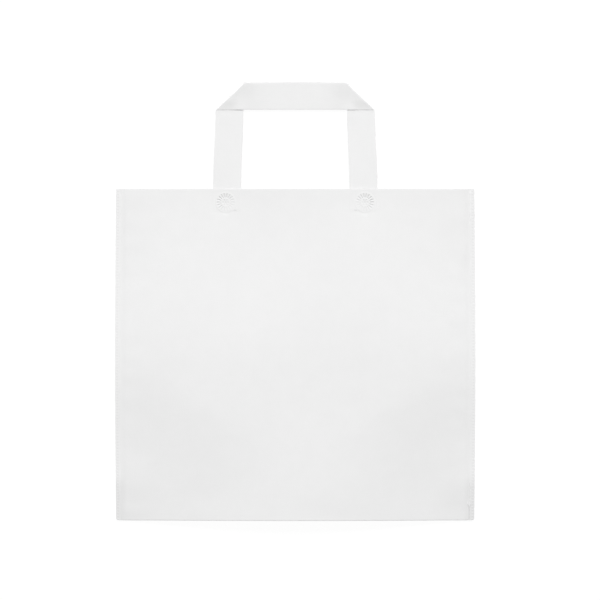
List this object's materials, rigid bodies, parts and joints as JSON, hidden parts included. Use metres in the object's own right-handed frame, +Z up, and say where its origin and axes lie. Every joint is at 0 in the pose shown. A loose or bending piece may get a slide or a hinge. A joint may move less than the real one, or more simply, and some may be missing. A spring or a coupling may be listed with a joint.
{
  "type": "non-woven shopping bag",
  "caption": "Flat white non-woven shopping bag with welded side seams, turned hem, bottom gusset and mitre-folded loop handles, lying on its back panel.",
  "frame": {"origin": "centre of the bag's bounding rectangle on the surface that it lies on", "axes": "+X across the bag, +Y from its bottom edge towards the mouth and the handles, +Z up out of the front panel"},
  "size_m": [0.362, 0.4405, 0.0169],
  "materials": {
    "bag_sheet": "matte white spunbond",
    "handle_strip": "matte white spunbond"
  },
  "bodies": {
    "root": {"bag_body": "bag_sheet", "front_handle": "handle_strip", "back_handle": "handle_strip"}
  },
  "joints": []
}
